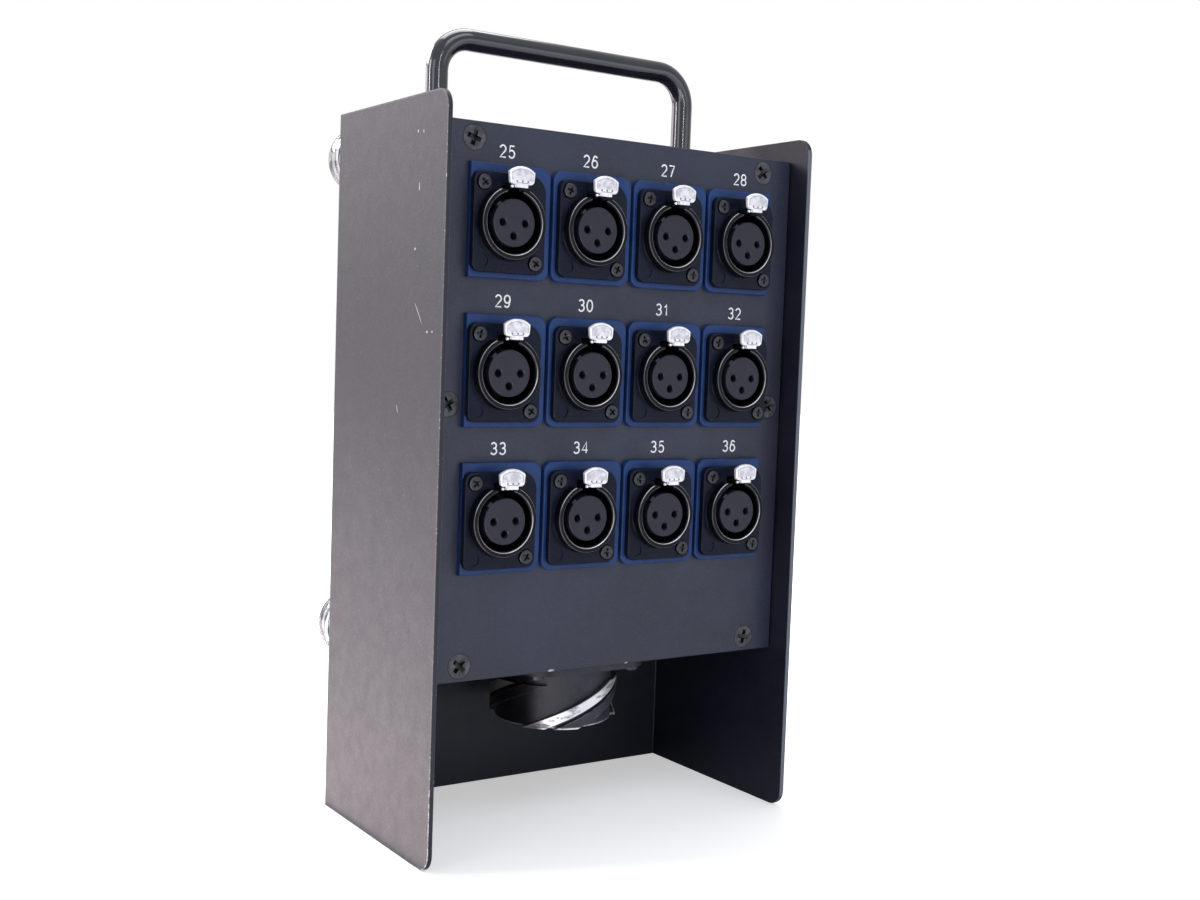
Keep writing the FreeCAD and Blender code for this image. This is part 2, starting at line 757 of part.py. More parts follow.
# Clear bumpers on the back
def rear_foot(x, z):
    dome = foot_height - foot_rim
    flat_r = 3.0
    bulge = V(foot_r * 0.85, foot_rim + dome * 0.71, 0)
    points = [V(0, 0, 0),
              (V(foot_r, 0, 0),),
              (V(foot_r, foot_rim, 0),),
              (bulge, V(flat_r, foot_height, 0)),
              (V(0, foot_height, 0),),
              (V(0, 0, 0),)]
    edges = []
    start = points[0]
    for step in points[1:]:
        if len(step) == 2:
            edges.append(Part.Arc(start, step[0], step[1]).toShape())
        else:
            edges.append(Part.LineSegment(start, step[0]).toShape())
        start = step[-1]
    foot = Part.Face(Part.Wire(edges)).revolve(V(0, 0, 0), V(0, 1, 0), 360)
    foot.translate(V(x, y_back, z))
    return foot


# Wiring: a cable from each socket to the multipin's back
row_drop = (28.0, 26.0, 12.0)


def channel_cable(column, row, x, z):
    """Jacket and three cores of one channel, in a plane of its own row."""
    lane = (column - (columns - 1) / 2) * lane_x
    y_plane = y_multipin + bundle_shift_y + (1 - row) * lane_y
    y_start = y_flange + cup_end + 4.4
    points = [V(x, y_start, z), V(x, y_plane, z), V(lane, y_plane, z - row_drop[row]),
              V(lane, y_plane, cable_low)]
    solids = [bent_tube(points, cable_r)]
    for angle in contact_angles:
        away = V(math.cos(math.radians(angle)), 0, math.sin(math.radians(angle)))
        begin = V(x, y_flange + cup_end + 0.5, z) + away * contact_ring_r
        end = V(x, y_start - 0.5, z) + away * 0.8
        run = end - begin
        solids.append(Part.makeCylinder(core_r, run.Length, begin, run))
    return solids


def tie_corners(shape, radius, z):
    uprights = [edge for edge in shape.Edges
                if abs(edge.CenterOfMass.z - z - tie_wide / 2) < 0.01]
    return shape.makeFillet(radius, uprights)


def cable_tie(x_half, y0, y1, z):
    """Flat strap with rounded corners around the cables, and its head."""
    outer = box(-x_half - tie_thick, x_half + tie_thick, y0 - tie_thick, y1 + tie_thick,
                z, z + tie_wide)
    outer = tie_corners(outer, 2.2, z)
    inner = box(-x_half, x_half, y0, y1, z - 1, z + tie_wide + 1)
    inner = tie_corners(inner, 1.2, z)
    y_head = (y0 + y1) / 2
    head = box(x_half + tie_thick - 0.2, x_half + tie_thick + 3.0, y_head - 2.2, y_head + 2.2,
               z - 0.8, z + tie_wide + 0.8)
    return outer.fuse(head).cut(inner)


def cable_ties():
    """A tie around all twelve cables, and one around those of the upper two rows."""
    slack = cable_r + 0.15
    x_half = 1.5 * lane_x + slack
    y_mid = y_multipin + bundle_shift_y
    y_far = y_mid + lane_y + slack
    low = cable_tie(x_half, y_mid - lane_y - slack, y_far, tie_heights[0])
    high = cable_tie(x_half, y_mid - slack, y_far, tie_heights[1])
    return [low, high]


def ground_lead():
    """Lead from the multipin's centre pin to a ring tag on the earth stud."""
    z_floor = panel_bottom + sheet
    tag_thick = 0.8
    y_join = earth_y - 5.0
    ring = rod_z(3.8, 0, earth_y, z_floor, z_floor + tag_thick)
    tongue = box(-1.6, 1.6, y_join - 1.2, earth_y - 2.5, z_floor, z_floor + tag_thick)
    tag = ring.fuse(tongue).cut(rod_z(2.1, 0, earth_y, z_floor - 1, z_floor + 5))
    z_top = pin_end + 8.0
    points = [V(0, y_multipin, pin_end + 0.2), V(0, y_multipin, z_top),
              V(0, y_join, z_top), V(0, y_join, z_floor + tag_thick)]
    wire = bent_tube(points, 0.6)
    return [tag.removeSplitter(), wire]


def earth_stud():
    z_floor = panel_bottom + sheet
    stud = rod_z(2.0, 0, earth_y, z_floor, z_floor + 9.0)
    nut = hex_nut(0, earth_y, z_floor + 0.8, 7.0, 3.2, 2.05)
    return [stud, nut]


# Write every node
save("chassis_shell", [chassis()])
save("top_plate", [top_plate()])
save("bottom_plate", [bottom_plate()])
save("side_brackets", [side_bracket(-1), side_bracket(1)])
save("clinch_nuts", [clinch_nut(x, z) for x, z in panel_screws])
save("front_panel", [front_panel()])
save("panel_screws", [panel_screw(k, x, z) for k, (x, z) in enumerate(panel_screws)])
save("coding_plates", [coding_plate(column, x, z) for number, column, row, x, z in sockets])

shell_blank = socket_shell()
insert_blank = socket_insert()
tab_blank = push_tab()
for number, column, row, x, z in sockets:
    save("xlr_shell_%d" % number, [placed(shell_blank, x, z)])
    save("xlr_insert_%d" % number, [placed(insert_blank, x, z)])
    save("push_tab_%d" % number, [placed(tab_blank, x, z)])

contact_blanks = [socket_contact(angle) for angle in contact_angles]
save("xlr_contacts", [placed(blank, x, z) for number, column, row, x, z in sockets
                      for blank in contact_blanks])
spring_blank = latch_spring()
save("latch_springs", [placed(spring_blank, x, z) for number, column, row, x, z in sockets])
save("xlr_screws", [placed(flange_screw(k), x, z) for k, (x, z) in enumerate(flange_screws)])

save("multipin_shell", [multipin_shell()])
save("multipin_insert", [multipin_insert()])
save("multipin_pins", [multipin_pin(x, y) for x, y in pin_places])
save("multipin_gasket", [multipin_gasket()])
multipin_corners = [(x, y_multipin + y) for x in (-multipin_screw, multipin_screw)
                    for y in (-multipin_screw, multipin_screw)]
save("multipin_screws", [multipin_screw_body(x, y) for x, y in multipin_corners])
save("multipin_nuts", [hex_nut(x, y, panel_bottom + sheet, 5.5, 2.4, 1.5)
                       for x, y in multipin_corners])

save("handle", [handle()])
save("handle_screws", [handle_screw(side) for side in (-1, 1)])
save("rear_feet", [rear_foot(side * foot_x, z) for side in (-1, 1)
                   for z in (foot_top_z, foot_low_z)])

cables = []
for number, column, row, x, z in sockets:
    cables.extend(channel_cable(column, row, x, z))
save("channel_cables", cables)
save("cable_ties", cable_ties())
save("ground_lead", ground_lead())
save("earth_stud", earth_stud())
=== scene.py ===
import json
import math

import bmesh
import bpy
from mathutils import Matrix, Vector


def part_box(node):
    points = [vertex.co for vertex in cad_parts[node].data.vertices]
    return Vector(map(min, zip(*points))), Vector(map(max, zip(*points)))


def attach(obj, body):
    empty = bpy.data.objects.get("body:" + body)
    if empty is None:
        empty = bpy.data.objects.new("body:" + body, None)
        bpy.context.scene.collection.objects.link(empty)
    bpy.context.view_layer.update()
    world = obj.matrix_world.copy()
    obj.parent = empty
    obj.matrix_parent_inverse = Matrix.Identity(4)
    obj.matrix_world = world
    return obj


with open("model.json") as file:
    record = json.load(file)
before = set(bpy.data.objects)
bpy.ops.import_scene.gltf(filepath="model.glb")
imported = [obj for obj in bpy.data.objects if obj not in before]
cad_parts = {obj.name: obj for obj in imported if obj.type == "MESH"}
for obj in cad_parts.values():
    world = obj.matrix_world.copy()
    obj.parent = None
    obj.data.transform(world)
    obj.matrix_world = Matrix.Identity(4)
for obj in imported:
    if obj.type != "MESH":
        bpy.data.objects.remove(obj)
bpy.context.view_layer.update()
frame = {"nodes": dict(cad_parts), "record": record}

MM = 0.001


# Camera, solved from the sockets' flanges in the photograph
photo_width_px = 1200
focal_px = 1451.85
camera_place = Vector((-277.4, -434.7, 164.5)) * MM
camera_forward = Vector((0.56020, 0.82529, -0.07115))
camera_up = Vector((0.01027, 0.07897, 0.99682))


def make_camera():
    data = bpy.data.cameras.new("camera")
    data.sensor_fit = "HORIZONTAL"
    data.sensor_width = 36.0
    data.lens = focal_px / photo_width_px * data.sensor_width
    data.clip_start = 0.01
    camera = bpy.data.objects.new("camera", data)
    bpy.context.scene.collection.objects.link(camera)
    back = -camera_forward.normalized()
    right = camera_up.cross(back).normalized()
    up = back.cross(right)
    turn = Matrix((right, up, back)).transposed().to_4x4()
    camera.matrix_world = Matrix.Translation(camera_place) @ turn
    bpy.context.scene.camera = camera


make_camera()


# Places read from the frame
numbers = range(25, 37)
columns = 4
chassis_low, chassis_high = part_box("chassis_shell")
multipin_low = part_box("multipin_shell")[0]
y_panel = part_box("front_panel")[0].y
y_cheek = chassis_low.y
y_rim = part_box("xlr_shell_25")[0].y
y_tab_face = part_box("push_tab_25")[0].y

# Shapes that the finishes follow: the cheeks' corners and where their cut edges end at the
# back, a socket's bore and lips, the multipin's crest and the underside of its flange, and
# the gap round a panel screw
cheek_corner = 6.0 * MM
cut_edge_end = 30.0 * MM
bore_r = 9.6 * MM
inner_lip_r = 9.97 * MM
outer_lip_r = 11.2 * MM
ring_r = 11.7 * MM
multipin_crest_r = 22.0 * MM
multipin_flange_z = 48.0 * MM
screw_gap_r = 4.02 * MM

# Shapes on a push tab's face, from its socket's axis: its top arc, half width and dents
tab_half = 4.6 * MM
tab_top = 17.0 * MM
tab_shoulder = 15.25 * MM
tab_arc_r = (tab_half ** 2 + (tab_top - tab_shoulder) ** 2) / (2 * (tab_top - tab_shoulder))
tab_arc_z = tab_top - tab_arc_r
tab_dents = (-1.95 * MM, 0.0, 1.95 * MM)
tab_dent_z = 12.35 * MM


def centre(node):
    low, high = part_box(node)
    return (low + high) / 2


socket_centre = {n: centre("xlr_insert_%d" % n) for n in numbers}
pitch_x = (socket_centre[28].x - socket_centre[25].x) / (columns - 1)
pitch_z = (socket_centre[25].z - socket_centre[33].z) / 2
grid_mid_z = socket_centre[29].z
multipin_centre = centre("multipin_insert")


# Coupling thread of the multipin socket: one start's angle and height, and its climb
thread_lead = 60.0 * MM
thread_pitch = thread_lead / 3
thread_angle = math.radians(65.0)
thread_start_z = 24.3 * MM


# Node graphs
class Graph:
    """A material and short ways to add nodes to it."""

    def __init__(self, name):
        self.material = bpy.data.materials.new(name)
        self.material.use_nodes = True
        self.tree = self.material.node_tree
        self.shader = self.tree.nodes["Principled BSDF"]
        self.output = self.tree.nodes["Material Output"]
        self.place = self.add("ShaderNodeTexCoord").outputs["Object"]

    def add(self, kind, **settings):
        node = self.tree.nodes.new(kind)
        for key, value in settings.items():
            setattr(node, key, value)
        return node

    def put(self, socket, value):
        if isinstance(value, bpy.types.NodeSocket):
            self.tree.links.new(value, socket)
        elif value is not None:
            socket.default_value = value

    def math(self, operation, a, b=None, c=None):
        node = self.add("ShaderNodeMath", operation=operation)
        for socket, value in zip(node.inputs, (a, b, c)):
            self.put(socket, value)
        return node.outputs[0]

    def noise(self, scale, detail=3.0, rough=0.55, place=None):
        node = self.add("ShaderNodeTexNoise")
        self.put(node.inputs["Vector"], place or self.place)
        node.inputs["Scale"].default_value = scale
        node.inputs["Detail"].default_value = detail
        node.inputs["Roughness"].default_value = rough
        return node.outputs["Fac"]

    def stretched(self, x, y, z):
        node = self.add("ShaderNodeMapping")
        self.put(node.inputs["Vector"], self.place)
        node.inputs["Scale"].default_value = (x, y, z)
        return node.outputs["Vector"]

    def step(self, value, low, high, to_low=0.0, to_high=1.0):
        """A smooth step from to_low, below low, to to_high, above high."""
        node = self.add("ShaderNodeMapRange", interpolation_type="SMOOTHSTEP")
        self.put(node.inputs["Value"], value)
        node.inputs["From Min"].default_value = low
        node.inputs["From Max"].default_value = high
        node.inputs["To Min"].default_value = to_low
        node.inputs["To Max"].default_value = to_high
        return node.outputs["Result"]

    def both(self, a, b):
        return self.math("MULTIPLY", a, b)

    def length(self, a, b):
        """The length of the sum of two steps at right angles."""
        return self.math("SQRT", self.math("ADD", self.both(a, a), self.both(b, b)))

    def either(self, a, b):
        return self.math("MAXIMUM", a, b)

    def mix(self, factor, a, b):
        node = self.add("ShaderNodeMix", data_type="RGBA", clamp_factor=True)
        self.put(node.inputs[0], factor)
        for socket, colour in ((node.inputs[6], a), (node.inputs[7], b)):
            self.put(socket, colour)
        return node.outputs[2]

    def blend(self, factor, a, b):
        """A number that goes from a to b with the factor."""
        node = self.add("ShaderNodeMix", data_type="FLOAT", clamp_factor=True)
        self.put(node.inputs[0], factor)
        self.put(node.inputs[2], a)
        self.put(node.inputs[3], b)
        return node.outputs[0]

    def xyz(self, place=None):
        node = self.add("ShaderNodeSeparateXYZ")
        self.put(node.inputs[0], place or self.place)
        return node.outputs

    def bump(self, height, strength, distance, under=None):
        node = self.add("ShaderNodeBump")
        node.inputs["Strength"].default_value = strength
        node.inputs["Distance"].default_value = distance
        self.put(node.inputs["Height"], height)
        if under is not None:
            self.put(node.inputs["Normal"], under)
        return node.outputs["Normal"]

    def set(self, name, value):
        self.put(self.shader.inputs[name], value)


def colour(red, green, blue):
    """A shader colour from the 0 to 255 values that it should look like on a screen."""
    linear = []
    for part in (red, green, blue):
        part = part / 255
        linear.append(part / 12.92 if part <= 0.04045 else ((part + 0.055) / 1.055) ** 2.4)
    return (*linear, 1.0)


def edge_mask(g, radius):
    """Near 1 along sharp edges, from how far the rounded normal leans away from the true one."""
    bevel = g.add("ShaderNodeBevel", samples=6)
    bevel.inputs["Radius"].default_value = radius
    true_normal = g.add("ShaderNodeNewGeometry").outputs["Normal"]
    dot = g.add("ShaderNodeVectorMath", operation="DOT_PRODUCT")
    g.put(dot.inputs[0], bevel.outputs["Normal"])
    g.put(dot.inputs[1], true_normal)
    return g.step(dot.outputs["Value"], 0.80, 0.985, 1.0, 0.0)


def near(g, value, target, reach):
    """1 where value is at target, falling to 0 at reach away."""
    away = g.math("ABSOLUTE", g.math("SUBTRACT", value, target))
    return g.step(away, 0.3 * reach, reach, 1.0, 0.0)


# Finishes
chip_pale = colour(172, 172, 177)

# Panel screws on the right side, x and z in millimetres; those on the left mirror them
panel_screw_places = [(58.0, 227.4), (58.0, 62.1), (64.8, 145.0)]
# Marks in millimetres: two places, half width, half height, and lean along the height.
# Those of the panel's lower edge are at x and z, those of the left cheek at y and z.
panel_chips = [(-23.6, 57.5, 1.5, 0.45, 0.0), (6.6, 57.2, 0.8, 0.4, 0.0)]
cheek_marks = [(-26.7, 228.6, 0.5, 0.6, 0.0), (-30.4, 228.3, 0.35, 0.6, 0.0),
               (-28.4, 211.5, 0.35, 1.6, 0.0), (-26.5, 192.6, 0.7, 0.5, 0.0),
               (-29.8, 172.8, 0.3, 4.2, 0.77), (-36.0, 167.0, 0.7, 0.5, 0.0),
               (-39.3, 167.1, 0.6, 0.4, 0.0), (-16.8, 142.5, 0.3, 1.5, 0.3)]


def satin_paint():
    """Fine-grained satin black paint, rubbed through here and there along its cut edges, with painted
    shade on the cheeks' inner faces and a painted highlight on the right cheek's front edge.
    """
    g = Graph("satin_paint")
    x, y, z = g.xyz()
    clouds = g.noise(16.0, 4.0, 0.6)
    mottle = g.noise(190.0, 3.0, 0.6)
    grain = g.noise(1500.0, 2.0, 0.6)
    tone = g.math("ADD", g.both(clouds, 0.6), g.both(mottle, 0.4))
    base = g.mix(g.step(tone, 0.3, 0.7), colour(16, 16, 27), colour(24, 24, 35))
    base = g.mix(g.both(g.step(grain, 0.45, 0.75), 0.5), base, colour(62, 60, 70))
    specks = g.step(g.noise(760.0, 1.0, 0.5), 0.74, 0.79)
    base = g.mix(g.both(specks, 0.3), base, colour(128, 126, 128))
    # Painted shade: the cheeks' inner faces take a darker, bluer copy of the paint.
    outside = g.step(x, chassis_low.x + 0.1 * MM, chassis_low.x + 0.2 * MM, 1.0, 0.0)
    painted_inner_shade = g.mix(g.step(tone, 0.3, 0.7), colour(8, 11, 26), colour(13, 17, 35))
    base = g.mix(outside, painted_inner_shade, base)
    marks = g.both(marks_on(g, y, z, cheek_marks), outside)
    base = g.mix(g.both(marks, 0.65), base, colour(190, 188, 190))
    front = g.math("SUBTRACT", y, y_cheek)
    from_end = g.math("MINIMUM", z, g.math("SUBTRACT", chassis_high.z, z))
    edge = g.math("MINIMUM", front, from_end)
    off_back = g.step(y, cut_edge_end, cut_edge_end + 3.0 * MM, 1.0, 0.0)
    cut_edge = g.both(g.step(edge, 2.6 * MM, 3.2 * MM, 1.0, 0.0), off_back)
    arris = g.both(edge_mask(g, 0.28 * MM), cut_edge)
    low_corner = g.both(g.step(z, 14.0 * MM, 50.0 * MM, 0.14, 0.0),
                        g.step(front, 6.0 * MM, 14.0 * MM, 1.0, 0.0))
    patches = g.math("ADD", g.noise(900.0, 4.0, 0.7), low_corner)
    patches = g.step(patches, 0.56, 0.68, 0.12, 0.85)
    in_y = g.math("MAXIMUM", g.math("SUBTRACT", cheek_corner, front), 0.0)
    in_z = g.math("MAXIMUM", g.math("SUBTRACT", cheek_corner, from_end), 0.0)
    inward = g.length(in_y, in_z)
    from_edge = g.math("SUBTRACT", cheek_corner, inward)
    line = g.both(g.step(from_edge, 0.3 * MM, 0.6 * MM, 1.0, 0.0), off_back)
    wear_and_highlight = g.both(g.either(arris, g.both(line, outside)), patches)
    # Painted highlight: a lighter line on the right cheek's front edge.
    right_edge_highlight = g.both(g.step(front, 0.2 * MM, 0.5 * MM, 1.0, 0.0), g.step(x, 0.0, 10.0 * MM))
    base = g.mix(g.both(right_edge_highlight, 0.75), base, colour(104, 108, 122))
    g.set("Base Color", g.mix(wear_and_highlight, base, chip_pale))
    g.set("Metallic", g.both(wear_and_highlight, 0.5))
    g.set("Roughness", g.blend(wear_and_highlight, g.step(mottle, 0.3, 0.7, 0.47, 0.53), 0.45))
    g.set("Normal", g.bump(grain, 0.5, 0.09 * MM))
    return g.material


def marks_on(g, across, up, marks):
    """Small ragged marks: their two places, half width, half height and lean."""
    found = None
    for mark_across, mark_up, wide, tall, lean in marks:
        away = g.math("SUBTRACT", across, mark_across * MM)
        rise = g.math("SUBTRACT", up, mark_up * MM)
        away = g.math("SUBTRACT", away, g.both(rise, lean))
        away = g.math("DIVIDE", away, wide * MM)
        rise = g.math("DIVIDE", rise, tall * MM)
        square = g.math("ADD", g.both(away, away), g.both(rise, rise))
        ragged = g.math("ADD", square, g.both(g.noise(1300.0), 0.9))
        spot = g.step(ragged, 0.9, 1.3, 1.0, 0.0)
        found = spot if found is None else g.either(found, spot)
    return found


def screw_distance(g, x, z):
    """How far a place on the panel is from the nearest panel screw's axis."""
    side = g.math("ABSOLUTE", x)
    nearest = None
    for screw_x, screw_z in panel_screw_places:
        across = g.math("SUBTRACT", side, screw_x * MM)
        up = g.math("SUBTRACT", z, screw_z * MM)
        away = g.length(across, up)
        nearest = away if nearest is None else g.math("MINIMUM", nearest, away)
    return nearest


def panel_paint():
    """The panel's satin paint, with painted shade in the gaps round its screws and a few chips."""
    g = Graph("panel_paint")
    x, y, z = g.xyz()
    clouds = g.noise(24.0, 4.0, 0.6)
    grain = g.noise(2600.0, 2.0, 0.55)
    base = g.mix(g.step(clouds, 0.35, 0.65), colour(29, 33, 50), colour(36, 40, 60))
    base = g.mix(g.both(g.step(grain, 0.5, 0.8), 0.25), base, colour(84, 86, 98))
    # Painted shade: a dark ring in the gap round each panel screw.
    gap = g.both(near(g, screw_distance(g, x, z), screw_gap_r, 0.42 * MM), 0.85)
    base = g.mix(gap, base, colour(8, 8, 10))
    chips = marks_on(g, x, z, panel_chips)
    g.set("Base Color", g.mix(chips, base, chip_pale))
    g.set("Roughness", g.step(g.noise(130.0), 0.3, 0.7, 0.42, 0.52))
    g.set("Normal", g.bump(grain, 0.25, 0.05 * MM))
    return g.material


def around_socket(g):
    """Distances across and up from the nearest socket's axis, and the radius."""
    x, y, z = g.xyz()
    half_x = pitch_x / 2
    half_z = pitch_z / 2
    across = g.math("WRAP", g.math("SUBTRACT", x, half_x), half_x, -half_x)
    up = g.math("WRAP", g.math("SUBTRACT", z, grid_mid_z), half_z, -half_z)
    radius = g.length(across, up)
    return across, up, radius, y


def die_cast():
    """Black coated die-cast sockets, with painted highlights in thin lines on the ring's lips,
    painted shade down the bore, and a near-black ring front.
    """
    g = Graph("die_cast")
    across, up, radius, y = around_socket(g)
    grain = g.noise(1900.0, 3.0, 0.6)
    clouds = g.noise(160.0, 4.0, 0.6)
    base = g.mix(g.step(clouds, 0.3, 0.7), colour(9, 14, 28), colour(17, 22, 40))
    base = g.mix(g.both(g.step(grain, 0.5, 0.8), 0.28), base, colour(52, 62, 88))
    height = g.math("DIVIDE", up, radius)
    at_rim = g.step(y, y_rim + 0.5 * MM, y_rim + 0.65 * MM, 1.0, 0.0)
    # Painted highlights: thin bright lines on the inner lip's lower half and the outer lip's upper
    # half, broken up by noise.
    inner_lip_highlight = g.both(near(g, radius, inner_lip_r, 0.15 * MM), g.step(height, -0.5, 0.4, 1.0, 0.2))
    outer_lip_highlight = g.both(near(g, radius, outer_lip_r, 0.13 * MM), g.step(height, 0.1, 0.7, 0.12, 0.75))
    highlight_breakup = g.step(g.noise(120.0, 3.0, 0.6), 0.3, 0.6, 0.55, 1.0)
    wear_and_highlight = g.both(g.both(g.either(inner_lip_highlight, outer_lip_highlight), at_rim), highlight_breakup)
    # Painted shade down the bore, and a near-black front on the ring.
    painted_inner_shade = g.both(g.step(radius, bore_r, bore_r + 0.15 * MM, 1.0, 0.0),
                    g.step(y, y_rim + 0.6 * MM, y_rim + 1.6 * MM))
    ring = g.both(g.step(radius, ring_r, ring_r + 0.2 * MM, 1.0, 0.0),
                  g.step(y, y_rim + 6.0 * MM, y_rim + 8.0 * MM, 1.0, 0.0))
    base = g.mix(g.either(painted_inner_shade, g.both(ring, 0.85)), base, colour(6, 6, 9))
    g.set("Base Color", g.mix(wear_and_highlight, base, colour(236, 236, 240)))
    g.set("Metallic", g.both(wear_and_highlight, 0.7))
    g.set("Roughness", g.blend(wear_and_highlight, g.step(clouds, 0.3, 0.7, 0.33, 0.43), 0.28))
    g.set("Specular IOR Level", 0.15)
    g.set("Normal", g.bump(grain, 0.3, 0.05 * MM))
    return g.material


def coding_blue():
    """Blue moulded plastic, a little lighter in scuffs and along its edges."""
    g = Graph("coding_blue")
    grain = g.noise(1500.0, 3.0, 0.6)
    clouds = g.noise(120.0, 4.0, 0.6)
    base = g.mix(g.step(clouds, 0.3, 0.7), colour(21, 47, 95), colour(30, 60, 110))
    scuffs = g.step(g.noise(700.0, 2.0, 0.5), 0.66, 0.75)
    base = g.mix(g.both(scuffs, 0.2), base, colour(84, 108, 150))
    edges = edge_mask(g, 0.3 * MM)
    base = g.mix(g.both(edges, 0.3), base, colour(70, 104, 158))
    g.set("Base Color", base)
    g.set("Roughness", g.step(clouds, 0.3, 0.7, 0.34, 0.48))
    g.set("Specular IOR Level", 0.28)
    g.set("Normal", g.bump(grain, 0.18, 0.04 * MM))
    return g.material


def insert_plastic():
    """Dark grey moulded plastic of the sockets' and the multipin's inserts."""
    g = Graph("insert_plastic")
    grain = g.noise(1700.0, 3.0, 0.6)
    clouds = g.noise(240.0, 3.0, 0.6)
    base = g.mix(g.step(clouds, 0.3, 0.7), colour(24, 24, 37), colour(31, 31, 46))
    base = g.mix(g.both(g.step(grain, 0.6, 0.8), 0.25), base, colour(88, 90, 100))
    g.set("Base Color", base)
    g.set("Roughness", g.step(clouds, 0.3, 0.7, 0.42, 0.56))
    g.set("Specular IOR Level", 0.38)
    g.set("Normal", g.bump(grain, 0.2, 0.03 * MM))
    return g.material


def bright_latch():
    """Pale satin metal of the push tabs: a bright rim round a duller field, a dark line round the
    field, painted shade in the crease and dents, and a painted shadow on the stem.
    """
    g = Graph("bright_latch")
    across, up, radius, y = around_socket(g)
    grain = g.noise(1400.0, 4.0, 0.65)
    clouds = g.noise(420.0, 4.0, 0.6)
    rise = g.math("SUBTRACT", up, tab_arc_z)
    from_arc = g.length(across, rise)
    inset = g.math("MINIMUM", g.math("SUBTRACT", tab_arc_r, from_arc),
                   g.math("SUBTRACT", tab_half, g.math("ABSOLUTE", across)))
    above_neck = g.step(up, 12.4 * MM, 13.0 * MM)
    field = g.both(g.step(inset, 0.75 * MM, 1.0 * MM), above_neck)
    base = g.mix(g.step(clouds, 0.35, 0.65), colour(226, 224, 229), colour(250, 249, 250))
    dull = g.mix(g.step(clouds, 0.35, 0.65), colour(178, 176, 186), colour(226, 224, 229))
    base = g.mix(g.both(field, 0.8), base, dull)
    line = g.both(near(g, inset, 0.88 * MM, 0.22 * MM), above_neck)
    crease = g.both(near(g, up, 11.85 * MM, 0.22 * MM),
                    g.step(g.math("ABSOLUTE", across), 1.9 * MM, 2.1 * MM, 1.0, 0.0))
    dents = None
    for place in tab_dents:
        aside = g.math("SUBTRACT", across, place)
        off = g.math("SUBTRACT", up, tab_dent_z)
        away = g.length(aside, off)
        dent = g.step(away, 0.25 * MM, 0.45 * MM, 1.0, 0.0)
        dents = dent if dents is None else g.either(dents, dent)
    # A dark line round the field, and painted shade in the crease and dents.
    drawn = g.either(g.both(line, 0.45), g.either(g.both(crease, 0.6), g.both(dents, 0.75)))
    base = g.mix(drawn, base, colour(70, 70, 78))
    # Painted shadow: the backing, stem and arm, past the tab's face, are near-black.
    painted_stem_shadow = g.step(g.math("SUBTRACT", y, y_tab_face), 1.05 * MM, 1.2 * MM)
    base = g.mix(painted_stem_shadow, base, colour(16, 16, 19))
    g.set("Base Color", base)
    g.set("Metallic", 0.3)
    g.set("Roughness", g.step(grain, 0.3, 0.7, 0.34, 0.5))
    g.set("Normal", g.bump(grain, 0.25, 0.04 * MM))
    return g.material


def black_screw(name, face, low_tone, high_tone):
    """Black-coated screw heads, with painted shade in the recess past the face."""
    g = Graph(name)
    y = g.xyz()[1]
    grain = g.noise(2400.0, 3.0, 0.6)
    clouds = g.noise(400.0, 3.0, 0.6)
    base = g.mix(g.step(clouds, 0.3, 0.7), low_tone, high_tone)
    base = g.mix(g.both(g.step(grain, 0.55, 0.8), 0.3), base, colour(110, 111, 120))
    # Painted shade: the cross recess, past the head's face, is near-black.
    painted_recess_shade = g.step(y, face + 0.06 * MM, face + 0.2 * MM)
    base = g.mix(painted_recess_shade, base, colour(5, 5, 6))
    g.set("Base Color", base)
    g.set("Roughness", g.step(clouds, 0.3, 0.7, 0.3, 0.42))
    g.set("Normal", g.bump(grain, 0.25, 0.03 * MM))
    return g.material


